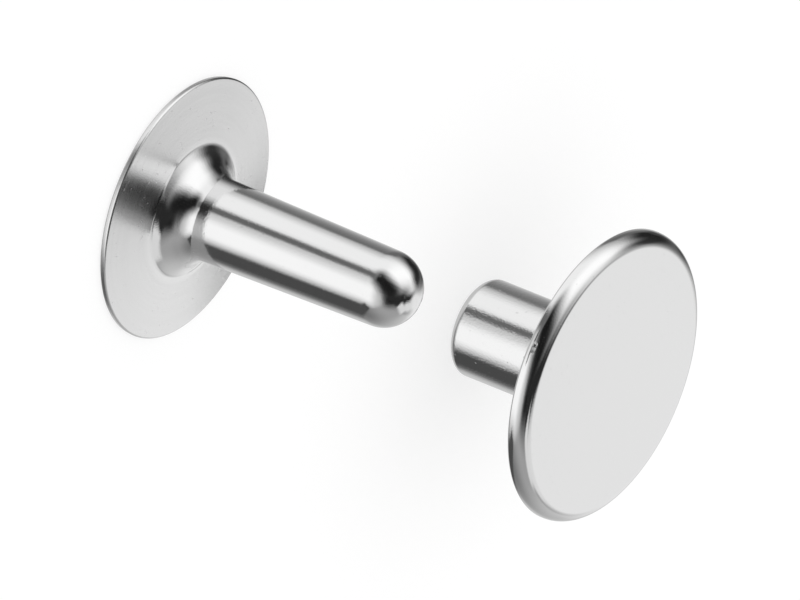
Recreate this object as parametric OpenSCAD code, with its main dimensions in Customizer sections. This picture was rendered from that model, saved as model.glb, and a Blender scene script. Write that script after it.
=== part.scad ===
// Two-part hollow rivet of drawn sheet metal: a post with a flange and a closed, tapered shank,
// and a cap whose tube takes the shank. Both stand on the plane z = 0 with their axes upright,
// the cap beside the post as it is handed out before setting. Millimetres.

/* [Post] */
// Diameter of the flange
flange_d = 7.94; // [6.5:0.02:12]
// Rise of the slightly coned flange from its edge to the foot of the boss
flange_rise = 0.19; // [0.02:0.01:0.3]
// Overall length, from the back of the flange to the tip
post_l = 8.3; // [6:0.02:14]
// Thickness of the sheet that the post is drawn from
post_wall = 0.2; // [0.14:0.01:0.26]
// Diameter of the shank where it leaves the boss
shank_root_d = 2.51; // [2.4:0.01:2.8]
// Diameter that the taper of the shank reaches at the nose, before the tip is rounded
shank_tip_d = 2.25; // [2.1:0.01:2.36]
// Diameter of the small flat on the nose of the tip
nose_flat_d = 0.12; // [0.1:0.02:0.5]

/* [Boss at the root of the shank] */
// Diameter of the boss at the flange
boss_base_d = 4; // [3.9:0.02:4.4]
// Diameter of the boss where its slope steepens
boss_top_d = 3.2; // [3.1:0.02:3.3]
// Height of that ring above the foot of the boss
boss_h = 0.2; // [0.18:0.01:0.3]
// Further rise from that ring to the root of the shank
neck_rise = 0.5; // [0.46:0.02:0.7]
// Radius in the corner between flange and boss
foot_round = 0.06; // [0.04:0.01:0.12]
// Radius where the slope of the boss steepens
shoulder_round = 0.2; // [0.1:0.01:0.3]
// Radius in the corner between boss and shank
neck_round = 0.55; // [0.3:0.01:0.6]

/* [Cap] */
// Diameter of the cap over its rolled rim
cap_d = 9; // [8.8:0.02:13]
// Thickness of the sheet of the outer shell
shell_wall = 0.18; // [0.14:0.01:0.24]
// Height of the crown of the face above its edge
face_crown = 0.08; // [0.04:0.01:0.3]
// Rounding of the rim towards the face
rim_round = 0.45; // [0.3:0.01:0.46]
// Rounding of the rim where it turns under
turn_round = 0.08; // [0.04:0.01:0.09]
// Width of the edge that is folded under, measured from the outside of the rim
fold_w = 1.15; // [0.8:0.05:2]

/* [Socket inside the cap] */
// Length of the tube that stands out behind the rim
tube_l = 4.34; // [3:0.02:8]
// Outer diameter of the tube
tube_d = 3.01; // [2.96:0.01:3.6]
// Thickness of the sheet of the socket
socket_wall = 0.2; // [0.14:0.01:0.22]
// Rounding of the outer end of the tube
tube_end_round = 0.3; // [0.24:0.01:0.34]
// Radius in the corner between tube and flange
root_round = 0.2; // [0.1:0.01:0.4]
// Diameter of the pierced mouth
mouth_d = 2.4; // [2.36:0.01:2.5]
// Gap between the edge of the socket's flange and the rounding inside the rim
socket_gap = 0.03; // [0.02:0.01:0.3]

/* [Placing] */
// Distance between the axes of the post and the cap
spacing = 18.58; // [14:0.02:30]

/* [Edges] */
// Radius on the trimmed edges of the sheets
edge_round = 0.06; // [0.02:0.01:0.065]

/* [Hidden] */

// Smoothness of revolved surfaces, and steps that a quarter turn of a profile takes
$fn = 96;
quarter_steps = 10;

// Heights of the cap's sheets, stacked from the back of the rim to its face
fold_top = tube_l + shell_wall;
socket_top = fold_top + socket_wall;
face_edge = socket_top + shell_wall;

// The rim's two outer roundings share its thickness, and the space in the fold limits the inner one
rim_r = min(rim_round, face_edge - tube_l - turn_round);
rim_inner_r = min(rim_r - shell_wall, socket_wall);
socket_d = cap_d - 2 * (rim_r + socket_gap);

// The rounded lower edge of the coned flange stands on the plane z = 0
flange_slope = atan(flange_rise / (flange_d - boss_base_d) * 2);
flange_edge = post_wall * cos(flange_slope)
    - edge_round * (cos(flange_slope) + sin(flange_slope) - 1);
foot_z = flange_edge + flange_rise;

// The shank tapers in a straight line from the neck of the boss to the plane of the nose
shoulder_z = foot_z + boss_h;
neck_z = shoulder_z + neck_rise;
taper_angle = atan((shank_root_d - shank_tip_d) / 2 / (post_l - neck_z));
tip_round = (shank_tip_d - nose_flat_d) / 2 / tan(45 - taper_angle / 2);

// The face's crown is one large radius that ends level on the axis
face_r = cap_d / 2 - rim_r;
crown_slope = atan(2 * face_crown / face_r);
crown_share = 0.96;
crown_round = crown_share * face_r / 2 / tan(crown_slope / 2);

function unit(v) = v / norm(v);
function left_of(v) = [-v.y, v.x];
function xy(p) = [p.x, p.y];
function backwards(list) = [for (i = [len(list) - 1 : -1 : 0]) list[i]];

// A corner is [x, y, radius], and a fourth value is the radius on the other side of the sheet, where
// that isn't concentric. These are the points that round corner b between a and c.
function corner_arc(a, b, c) =
    let (
        u = unit(xy(a) - xy(b)),
        v = unit(xy(c) - xy(b)),
        half = acos(u * v) / 2,
        centre = xy(b) + unit(u + v) * b.z / sin(half),
        from = xy(b) + u * b.z / tan(half) - centre,
        turn = sign(cross(v, u)) * (180 - 2 * half),
        steps = ceil(abs(turn) / 90 * quarter_steps)
    )
    [for (i = [0 : steps])
        let (w = turn * i / steps)
        centre + [from.x * cos(w) - from.y * sin(w), from.x * sin(w) + from.y * cos(w)]];

// A closed loop of corners, each rounded to its own radius.
function rounded(loop) =
    let (n = len(loop))
    [for (i = [0 : n - 1])
        let (b = loop[i])
        each b.z == 0 ? [xy(b)] : corner_arc(loop[(i + n - 1) % n], b, loop[(i + 1) % n])];

// The same path moved by t to its left. An arc keeps its centre, down to a sharp corner.
function moved_corner(path, i, t) =
    let (
        b = xy(path[i]),
        into = i == 0 ? unit(xy(path[1]) - b) : unit(b - xy(path[i - 1])),
        out = i == len(path) - 1 ? into : unit(xy(path[i + 1]) - b),
        half = acos(min(1, into * out)) / 2,
        place = b + unit(left_of(into) + left_of(out)) * t / cos(half),
        concentric = path[i].z == 0 ? 0 : max(0, path[i].z - sign(cross(into, out)) * t),
        round = len(path[i]) > 3 ? path[i][3] : concentric
    )
    [place.x, place.y, round];

function moved(path, t) = [for (i = [0 : len(path) - 1]) moved_corner(path, i, t)];

// Outline of a sheet of thickness t that lies to the left of a path.
function sheet(path, t) = rounded(concat(path, backwards(moved(path, t))));

// Drawn post: flange, boss and hollow shank are one sheet, open at the back of the flange.
module post() {
    face = [
        [flange_d / 2, flange_edge, edge_round],
        [boss_base_d / 2, foot_z, foot_round],
        [boss_top_d / 2, shoulder_z, shoulder_round],
        [shank_root_d / 2, neck_z, neck_round],
        [shank_tip_d / 2, post_l, tip_round],
        [0, post_l, 0]
    ];
    color("gainsboro")
        rotate_extrude()
            polygon(sheet(face, post_wall));
}

// Stands a piece of the cap on its own axis beside the post.
module at_cap() {
    translate([0, spacing, 0])
        children();
}

// Outer shell of the cap: crowned face, rounded rim, and an edge folded under the socket's flange.
module cap_shell() {
    skin = [
        [cap_d / 2 - fold_w, tube_l, edge_round],
        [cap_d / 2, tube_l, turn_round],
        [cap_d / 2, face_edge, rim_r, rim_inner_r],
        [face_r / 2, face_edge + face_crown, crown_round],
        [0, face_edge + face_crown, 0]
    ];
    color("whitesmoke")
        at_cap()
            rotate_extrude()
                polygon(sheet(skin, shell_wall));
}

// Socket of the cap: a drawn tube with a turned-in, pierced end, and a flange held in the fold.
module cap_socket() {
    skin = [
        [0, 0, 0],
        [tube_d / 2, 0, tube_end_round],
        [tube_d / 2, fold_top, root_round],
        [socket_d / 2, fold_top, edge_round]
    ];
    color("lightgray")
        at_cap()
            rotate_extrude()
                difference() {
                    polygon(sheet(skin, socket_wall));
                    translate([0, -socket_wall])
                        square([mouth_d / 2, 3 * socket_wall]);
                }
}

post();
cap_shell();
cap_socket();
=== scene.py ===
"""Looks of the two-part hollow rivet: the post and the cap's two sheets as lathed, bright plated
metal, on a plain pale floor in a soft studio. Lengths are in metres, angles in degrees."""
import math

import bpy
from mathutils import Matrix, Vector


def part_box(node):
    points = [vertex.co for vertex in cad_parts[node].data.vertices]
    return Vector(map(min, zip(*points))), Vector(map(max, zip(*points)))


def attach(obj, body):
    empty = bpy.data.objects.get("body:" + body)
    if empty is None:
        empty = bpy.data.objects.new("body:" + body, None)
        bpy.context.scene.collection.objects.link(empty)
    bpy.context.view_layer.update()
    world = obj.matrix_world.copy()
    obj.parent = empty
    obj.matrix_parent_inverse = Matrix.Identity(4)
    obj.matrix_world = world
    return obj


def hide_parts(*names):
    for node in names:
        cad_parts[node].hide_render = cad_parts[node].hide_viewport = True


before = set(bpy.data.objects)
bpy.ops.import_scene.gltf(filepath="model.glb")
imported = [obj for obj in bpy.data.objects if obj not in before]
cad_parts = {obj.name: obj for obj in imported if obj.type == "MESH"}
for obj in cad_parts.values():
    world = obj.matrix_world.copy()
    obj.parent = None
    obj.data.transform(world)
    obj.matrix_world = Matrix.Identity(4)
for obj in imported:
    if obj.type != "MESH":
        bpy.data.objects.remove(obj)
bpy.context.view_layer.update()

MM = 0.001

# ---------------------------------------------------------------- sizes

# The overall sizes come from the frame; the roundings and walls are those of the sheets.
_, post_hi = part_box("post")
shell_lo, shell_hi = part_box("cap_shell")

POST_R = post_hi.x
POST_L = post_hi.z
CAP_R = shell_hi.x
CAP_Y = (shell_lo.y + shell_hi.y) / 2
SEAT_Z = shell_lo.z

POST_WALL = 0.2 * MM
SHANK_ROOT_R = 2.51 / 2 * MM
SHANK_TIP_R = 2.25 / 2 * MM
NOSE_FLAT_R = 0.12 / 2 * MM

# The three radii of the boss are softer than the solid's, as the reflections in it are
FLANGE_RISE = 0.19 * MM
BOSS_BASE_R = 4.0 / 2 * MM
BOSS_TOP_R = 3.2 / 2 * MM
BOSS_H = 0.2 * MM
NECK_RISE = 0.5 * MM
FOOT_ROUND = 0.35 * MM
SHOULDER_ROUND = 1.0 * MM
NECK_ROUND = 0.8 * MM

SHELL_WALL = 0.18 * MM
SOCKET_WALL = 0.2 * MM
FACE_CROWN = 0.08 * MM
CROWN_SHARE = 0.96
RIM_ROUND = 0.45 * MM
TURN_ROUND = 0.08 * MM
FOLD_W = 1.15 * MM
TUBE_R = 3.01 / 2 * MM
TUBE_END_ROUND = 0.3 * MM
ROOT_ROUND = 0.2 * MM
MOUTH_R = 2.4 / 2 * MM
SOCKET_GAP = 0.03 * MM
EDGE_ROUND = 0.06 * MM

# ---------------------------------------------------------------- camera

# A long lens from far away, for the photograph's nearly parallel view
SENSOR = 36.0
LENS = 1200.0
VIEW_ELEVATION = 29.58
VIEW_ROLL = 21.94
VIEW_DISTANCE = 771.3 * MM
VIEW_AIM = Vector((0.158, 9.372, 2.5)) * MM
CLIP_NEAR = 0.1
CLIP_FAR = 5.0


def view_axes():
    """The camera's right, up and backward directions: both axes of the rivet lean to the right."""
    e = math.radians(VIEW_ELEVATION)
    roll = math.radians(VIEW_ROLL)
    back = Vector((0, -math.cos(e), math.sin(e)))
    lean = Vector((0, math.sin(e), math.cos(e)))
    side = Vector((1, 0, 0))
    right = lean * math.cos(roll) - side * math.sin(roll)
    up = -lean * math.sin(roll) - side * math.cos(roll)
    return right, up, back


def add_camera():
    data = bpy.data.cameras.new("camera")
    data.sensor_width = SENSOR
    data.lens = LENS
    data.clip_start = CLIP_NEAR
    data.clip_end = CLIP_FAR
    cam = bpy.data.objects.new("camera", data)
    right, up, back = view_axes()
    turn = Matrix((right, up, back)).transposed().to_4x4()
    cam.matrix_world = Matrix.Translation(VIEW_AIM + back * VIEW_DISTANCE) @ turn
    bpy.context.scene.collection.objects.link(cam)
    bpy.context.scene.camera = cam


add_camera()

# ---------------------------------------------------------------- sheet profiles

# Steps in a quarter turn of a rounding and the fewest in any, and the support points of straights
QUARTER_STEPS = 28
FEWEST_STEPS = 6
SUPPORT = 0.025 * MM
SUPPORTED_FROM = 6 * SUPPORT


def unit(v):
    return v / v.length


def left_of(v):
    return Vector((-v.y, v.x))


def cross(a, b):
    return a.x * b.y - a.y * b.x


def corner_arc(before, corner, after, radius):
    """Points that round a corner between its two neighbours."""
    u, v = unit(before - corner), unit(after - corner)
    half = u.angle(v) / 2
    centre = corner + unit(u + v) * radius / math.sin(half)
    start = corner + u * radius / math.tan(half) - centre
    turn = math.copysign(math.pi - 2 * half, cross(v, u))
    steps = max(FEWEST_STEPS, math.ceil(abs(turn) / (math.pi / 2) * QUARTER_STEPS))
    turned = (Matrix.Rotation(turn * i / steps, 2) @ start for i in range(steps + 1))
    return [centre + p for p in turned]


def rounded(loop):
    """A closed loop of (point, radius) corners as points."""
    points = []
    for i, (corner, radius) in enumerate(loop):
        if radius == 0:
            points.append(corner.copy())
        else:
            after = loop[(i + 1) % len(loop)][0]
            points += corner_arc(loop[i - 1][0], corner, after, radius)
    return points


def moved(path, wall):
    """The path moved by the wall to its left, each arc about the centre that it has."""
    out = []
    for i, corner in enumerate(path):
        here, radius = corner[0], corner[1]
        into = unit(path[1][0] - here) if i == 0 else unit(here - path[i - 1][0])
        away = into if i == len(path) - 1 else unit(path[i + 1][0] - here)
        half = into.angle(away) / 2
        place = here + unit(left_of(into) + left_of(away)) * wall / math.cos(half)
        bend = cross(into, away)
        side = math.copysign(1, bend) if abs(bend) > 1e-9 else 0
        inner = max(0, radius - side * wall) if radius else 0
        out.append((place, corner[2] if len(corner) > 2 else inner))
    return out


def with_supports(points):
    """Adds a point just inside each end of a long straight stretch, so that it shades flat."""
    out = []
    for i, p in enumerate(points):
        q = points[(i + 1) % len(points)]
        out.append(p)
        if (q - p).length > SUPPORTED_FROM:
            step = unit(q - p) * SUPPORT
            out += [p + step, q - step]
    return out


def sheet(path, wall):
    """Outline of a sheet of one thickness that lies to the left of a path of (x, z) corners."""
    corners = [(c[0], c[1]) for c in path]
    return with_supports(rounded(corners + moved(path, wall)[::-1]))


def at(r, z, radius=0, inner=None):
    corner = (Vector((r, z)), radius)
    return corner if inner is None else corner + (inner,)


def post_profile():
    slope = math.atan(FLANGE_RISE / (POST_R - BOSS_BASE_R))
    rounding = EDGE_ROUND * (math.cos(slope) + math.sin(slope) - 1)
    edge_z = POST_WALL * math.cos(slope) - rounding
    foot_z = edge_z + FLANGE_RISE
    shoulder_z = foot_z + BOSS_H
    neck_z = shoulder_z + NECK_RISE
    taper = math.atan((SHANK_ROOT_R - SHANK_TIP_R) / (POST_L - neck_z))
    tip_round = (SHANK_TIP_R - NOSE_FLAT_R) / math.tan(math.pi / 4 - taper / 2)
    face = [
        at(POST_R, edge_z, EDGE_ROUND),
        at(BOSS_BASE_R, foot_z, FOOT_ROUND),
        at(BOSS_TOP_R, shoulder_z, SHOULDER_ROUND),
        at(SHANK_ROOT_R, neck_z, NECK_ROUND),
        at(SHANK_TIP_R, POST_L, tip_round),
        at(0, POST_L),
    ]
    return sheet(face, POST_WALL)


FOLD_TOP = SEAT_Z + SHELL_WALL
FACE_EDGE = FOLD_TOP + SOCKET_WALL + SHELL_WALL


def shell_profile():
    face_r = CAP_R - RIM_ROUND
    slope = math.atan(2 * FACE_CROWN / face_r)
    crown_round = CROWN_SHARE * face_r / 2 / math.tan(slope / 2)
    skin = [
        at(CAP_R - FOLD_W, SEAT_Z, EDGE_ROUND),
        at(CAP_R, SEAT_Z, TURN_ROUND),
        at(CAP_R, FACE_EDGE, RIM_ROUND, min(RIM_ROUND - SHELL_WALL, SOCKET_WALL)),
        at(face_r / 2, FACE_EDGE + FACE_CROWN, crown_round),
        at(0, FACE_EDGE + FACE_CROWN),
    ]
    return sheet(skin, SHELL_WALL)


def socket_profile():
    """Goes round the pierced end instead of to the axis: the mouth is a plain cut through it."""
    edge_r = CAP_R - RIM_ROUND - SOCKET_GAP
    skin = [
        at(MOUTH_R, 0),
        at(TUBE_R, 0, TUBE_END_ROUND),
        at(TUBE_R, FOLD_TOP, ROOT_ROUND),
        at(edge_r, FOLD_TOP, EDGE_ROUND),
    ]
    return sheet(skin, SOCKET_WALL)


# ---------------------------------------------------------------- lathe

SEGMENTS = 320
ON_AXIS = 1e-9


def lathe(name, profile, y):
    """Turns a closed (x, z) outline about the upright axis at y."""
    verts, rings = [], []
    for p in profile:
        if p.x < ON_AXIS:
            rings.append([len(verts)] * SEGMENTS)
            verts.append((0, y, p.y))
            continue
        rings.append(list(range(len(verts), len(verts) + SEGMENTS)))
        for k in range(SEGMENTS):
            a = 2 * math.pi * k / SEGMENTS
            verts.append((p.x * math.cos(a), y + p.x * math.sin(a), p.y))
    faces = []
    for i, ring in enumerate(rings):
        above = rings[(i + 1) % len(rings)]
        if ring[0] == ring[1] and above[0] == above[1]:
            continue
        for k in range(SEGMENTS):
            n = (k + 1) % SEGMENTS
            corners = [ring[k], ring[n], above[n], above[k]]
            faces.append(list(dict.fromkeys(corners)))
    mesh = bpy.data.meshes.new(name)
    mesh.from_pydata(verts, [], faces)
    mesh.validate()
    for face in mesh.polygons:
        face.use_smooth = True
    mesh.update()
    piece = bpy.data.objects.new(name, mesh)
    bpy.context.scene.collection.objects.link(piece)
    return piece


# ---------------------------------------------------------------- node helpers

class Nodes:
    """Short calls for making and linking shader nodes in one tree."""

    def __init__(self, tree):
        self.tree = tree

    def put(self, socket, value):
        if isinstance(value, bpy.types.NodeSocket):
            self.tree.links.new(value, socket)
        else:
            socket.default_value = value

    def new(self, kind, **inputs):
        node = self.tree.nodes.new(kind)
        for name, value in inputs.items():
            self.put(node.inputs[name], value)
        return node

    def math(self, operation, a, b=0.0, c=0.0):
        node = self.tree.nodes.new("ShaderNodeMath")
        node.operation = operation
        for socket, value in zip(node.inputs, (a, b, c)):
            self.put(socket, value)
        return node.outputs[0]

    def vector_math(self, operation, a, b=(0, 0, 0)):
        node = self.tree.nodes.new("ShaderNodeVectorMath")
        node.operation = operation
        self.put(node.inputs[0], a)
        self.put(node.inputs[1], b)
        return node

    def ramp(self, value, low, high, to_low=0.0, to_high=1.0):
        """A smooth step of value from low to high."""
        node = self.tree.nodes.new("ShaderNodeMapRange")
        node.interpolation_type = "SMOOTHSTEP"
        for socket, v in zip(node.inputs, (value, low, high, to_low, to_high)):
            self.put(socket, v)
        return node.outputs[0]


# ---------------------------------------------------------------- light

# Soft panels and dark gaps of the studio, as seen from the rivet, each laid over those before it.
# Directions are in the photograph's axes: azimuth to the right of the lens, elevation above it.
# Of each panel: azimuth, elevation, roll, half its width, half its length, how far its edge fades,
# and its light level. Most of these numbers, and the walls' level, came from a scratch program
# that fitted them to the reflections in the photograph; report.md says which.
WALLS = 0.68
PANELS = {
    "broad shade on the left": (-53, 2, 46, 168, 72, 83, 0.21),
    "table below": (15, -67, 68, 28, 4, 51, 0.42),
    "front wall": (-33, -8, 5, 38, 17, 17, 0.67),
    "softbox overhead": (21, 64, -45, 11, 43, 45, 1.1),
    "left softbox": (-57, -12, 65, 9, 11, 35, 1.2),
    "large softbox": (85, 30, -20, 3, 39, 46, 1.3),
    "gap behind the large softbox": (123, 15, 33, 3, 11, 28, 0.053),
    "gap above the large softbox": (149, 31, 1, 5, 17, 44, 0.02),
    "opening about the lens": (6, 6, -50, 6, 29, 36, 0.012),
    "opening below the lens": (45, -35, 16, 3, 21, 33, 0.017),
    "gap under the large softbox": (109, -28, 25, 11, 70, 14, 0.025),
    "light beside the faces": (134, -19, 14, 4, 17, 20, 0.98),
    "its near corner": (107, -36, 31, 4, 8, 12, 0.88),
    "its lower end": (88, -47, -5, 4, 11, 9, 0.85),
    "gap over the left softbox": (-51, 38, -15, 3, 15, 9, 0.16),
    "narrow gap behind, low": (-167, -15, 48, 60, 3, 8, 0.068),
    "gap behind the top light": (172, 48, 0, 14, 12, 11, 0.16),
    "gap under the left softbox": (-102, -43, -12, 6, 18, 7, 0.08),
    "wall behind, left": (-146, 19, 44, 24, 41, 29, 0.67),
}


def seen_from(right, up, back):
    """A direction given in the photograph's axes, as a world direction."""
    r, u, b = view_axes()
    return unit(r * right + u * up + b * back)


def panel_axes(azimuth, elevation, roll):
    """The middle of a panel, and its long and short directions, in the world."""
    a, e, w = (math.radians(v) for v in (azimuth, elevation, roll))
    middle = Vector((math.sin(a) * math.cos(e), math.sin(e), math.cos(a) * math.cos(e)))
    level = Vector((math.cos(a), 0, -math.sin(a)))
    upright = middle.cross(level)
    along = level * math.cos(w) + upright * math.sin(w)
    across = middle.cross(along)
    return [seen_from(*v) for v in (middle, along, across)]


def panel_mask(n, direction, azimuth, elevation, roll, half_width, half_length, fade):
    """1 inside a soft rectangle on the sky, 0 well outside it."""
    axes = panel_axes(azimuth, elevation, roll)
    forward, x, y = (
        n.vector_math("DOT_PRODUCT", direction, axis).outputs["Value"] for axis in axes
    )
    sides = []
    for offset, half in ((x, half_length), (y, half_width)):
        angle = n.math("ABSOLUTE", n.math("ARCTAN2", offset, forward))
        inner, outer = math.radians(half), math.radians(half + fade)
        sides.append(n.ramp(angle, inner, outer, 1.0, 0.0))
    return n.math("MULTIPLY", *sides)


def add_world():
    world = bpy.data.worlds.new("studio")
    world.use_nodes = True
    tree = world.node_tree
    tree.nodes.clear()
    n = Nodes(tree)
    direction = n.vector_math(
        "NORMALIZE", n.new("ShaderNodeTexCoord").outputs["Generated"]
    ).outputs[0]
    light = WALLS
    for *place, level in PANELS.values():
        mask = panel_mask(n, direction, *place)
        light = n.math("MULTIPLY_ADD", n.math("SUBTRACT", level, light), mask, light)

    # The metal mirrors the panels; the floor and the camera get plain white
    path = n.new("ShaderNodeLightPath").outputs
    plain = n.math("MAXIMUM", path["Is Camera Ray"], path["Is Transmission Ray"])
    mirrored = n.math("MULTIPLY", path["Is Glossy Ray"], n.math("SUBTRACT", 1.0, plain))
    strength = n.math("MULTIPLY_ADD", n.math("SUBTRACT", light, 1.0), mirrored, 1.0)
    background = n.new("ShaderNodeBackground", Color=(1, 1, 1, 1), Strength=strength)
    out = n.new("ShaderNodeOutputWorld")
    tree.links.new(background.outputs[0], out.inputs["Surface"])
    bpy.context.scene.world = world


# ---------------------------------------------------------------- floor

FLOOR_SIZE = 3.0
FLOOR_DROP = 0.002 * MM
PAPER = (0.35, 0.35, 0.35, 1)
PAPER_LIFT = 0.67


def floor_material():
    """Pale paper that keeps a faint shadow, and lets the metal see the studio below it."""
    mat = bpy.data.materials.new("floor_paper")
    mat.use_nodes = True
    tree = mat.node_tree
    tree.nodes.clear()
    n = Nodes(tree)
    paper = n.new("ShaderNodeBsdfDiffuse", Color=PAPER)
    lift = n.new("ShaderNodeEmission", Color=(1, 1, 1, 1), Strength=PAPER_LIFT)
    lit = n.tree.nodes.new("ShaderNodeAddShader")
    tree.links.new(paper.outputs[0], lit.inputs[0])
    tree.links.new(lift.outputs[0], lit.inputs[1])
    clear = n.new("ShaderNodeBsdfTransparent")
    mix = n.tree.nodes.new("ShaderNodeMixShader")
    path = n.new("ShaderNodeLightPath").outputs
    through = n.math("MAXIMUM", path["Is Glossy Ray"], path["Is Transmission Ray"])
    tree.links.new(through, mix.inputs[0])
    tree.links.new(lit.outputs[0], mix.inputs[1])
    tree.links.new(clear.outputs[0], mix.inputs[2])
    out = n.new("ShaderNodeOutputMaterial")
    tree.links.new(mix.outputs[0], out.inputs["Surface"])
    return mat


def add_floor():
    h = FLOOR_SIZE / 2
    mesh = bpy.data.meshes.new("floor")
    corners = [(-h, -h), (h, -h), (h, h), (-h, h)]
    mesh.from_pydata([(x, y, -FLOOR_DROP) for x, y in corners], [], [(0, 1, 2, 3)])
    mesh.materials.append(floor_material())
    floor = bpy.data.objects.new("floor", mesh)
    bpy.context.scene.collection.objects.link(floor)


# ---------------------------------------------------------------- metal

PLATE = (0.76, 0.76, 0.76, 1)

# Periods of the noise per millimetre, and per radian along the turning
RING_FINE, RING_ROUND = 12.0, 0.8
DRAW_ROUND, DRAW_ALONG, DRAW_OUT = 12.0, 0.5, 1.0
WAVE_FINE = 0.45
GRAIN_FINE = 17.0
SPECK_FINE = 8.0

# Where in the noise a speck and a rougher ring begin and are whole, and what they add
SPECK_EDGE = (0.72, 0.76)
SPECK_ROUGH = 0.12
RING_EDGE = (0.40, 0.65)
RING_ROUGH = 0.03
SATIN_FADE = 0.3


def metal(name, axis_y, finish):
    """Bright plated sheet. Rings follow the turning, draw marks run along the axis, grain and
    specks lie anywhere, and a slow wave bends the reflections a little. Depths are millimetres.
    Outside satin_from the sheet is the rougher stock that the tools leave untouched."""
    mat = bpy.data.materials.new(name)
    mat.use_nodes = True
    tree = mat.node_tree
    n = Nodes(tree)
    shader = tree.nodes["Principled BSDF"]
    shader.inputs["Metallic"].default_value = 1.0
    shader.inputs["Base Color"].default_value = PLATE

    here = n.new("ShaderNodeTexCoord").outputs["Object"]
    place = n.vector_math("SUBTRACT", here, (0, axis_y, 0)).outputs[0]
    place = n.vector_math("MULTIPLY", place, (1 / MM,) * 3).outputs[0]
    x, y, z = n.new("ShaderNodeSeparateXYZ", Vector=place).outputs
    radius = n.math("SQRT", n.math("MULTIPLY_ADD", x, x, n.math("MULTIPLY", y, y)))
    angle = n.math("ARCTAN2", y, x)

    def noise(vector, scale, detail=3.0):
        return n.new("ShaderNodeTexNoise", Vector=vector, Scale=scale, Detail=detail).outputs[0]

    def stretched(u, v, w):
        parts = [n.math("MULTIPLY", value, factor) for value, factor in (u, v, w)]
        return n.new("ShaderNodeCombineXYZ", X=parts[0], Y=parts[1], Z=parts[2]).outputs[0]

    round_and_out = stretched((radius, RING_FINE), (angle, RING_ROUND), (z, RING_FINE))
    along = stretched((angle, DRAW_ROUND), (z, DRAW_ALONG), (radius, DRAW_OUT))
    rings = noise(round_and_out, 1.0)
    draws = noise(along, 1.0)
    wave = noise(place, WAVE_FINE, 1.0)
    grain = noise(place, GRAIN_FINE, 2.0)
    specks = n.ramp(noise(place, SPECK_FINE, 1.0), *SPECK_EDGE)
    satin = n.ramp(radius, finish["satin_from"], finish["satin_from"] + SATIN_FADE)

    height = n.math("MULTIPLY", rings, finish["rings"])
    for layer, depth in ((draws, "draws"), (wave, "wave"), (grain, "grain"), (specks, "specks")):
        height = n.math("MULTIPLY_ADD", layer, finish[depth], height)
    bump = n.new("ShaderNodeBump", Strength=1.0, Distance=MM, Height=height)
    tree.links.new(bump.outputs[0], shader.inputs["Normal"])

    rough = n.math("MULTIPLY_ADD", satin, finish["satin"], finish["roughness"])
    rough = n.math("MULTIPLY_ADD", specks, SPECK_ROUGH, rough)
    rough = n.math("MULTIPLY_ADD", n.ramp(rings, *RING_EDGE), RING_ROUGH, rough)
    tree.links.new(rough, shader.inputs["Roughness"])
    return mat


# ---------------------------------------------------------------- assembly

def add_piece(name, profile, y, material, node):
    piece = lathe(name, profile, y)
    piece.data.materials.append(material)
    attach(piece, "root")
    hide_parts(node)
    return piece


# Roughness, what the satin stock adds to it and the radius it starts from, and the depths in mm
POST_FINISH = {
    "roughness": 0.06, "satin": 0.15, "satin_from": 2.0,
    "rings": 0.0005, "draws": 0.0010, "wave": 0.006, "grain": 0.0010, "specks": 0.0003,
}
SHELL_FINISH = {
    "roughness": 0.06, "satin": 0.0, "satin_from": 9.0,
    "rings": 0.0003, "draws": 0.0, "wave": 0.004, "grain": 0.0008, "specks": 0.0008,
}
SOCKET_FINISH = {
    "roughness": 0.08, "satin": 0.0, "satin_from": 9.0,
    "rings": 0.0004, "draws": 0.0018, "wave": 0.010, "grain": 0.0030, "specks": 0.0030,
}

bpy.context.scene.view_settings.view_transform = "Standard"
add_world()
add_floor()
post_plate = metal("post_plate", 0, POST_FINISH)
shell_plate = metal("shell_plate", CAP_Y, SHELL_FINISH)
socket_plate = metal("socket_plate", CAP_Y, SOCKET_FINISH)
add_piece("rivet_post", post_profile(), 0, post_plate, "post")
add_piece("cap_skin", shell_profile(), CAP_Y, shell_plate, "cap_shell")
add_piece("cap_tube", socket_profile(), CAP_Y, socket_plate, "cap_socket")
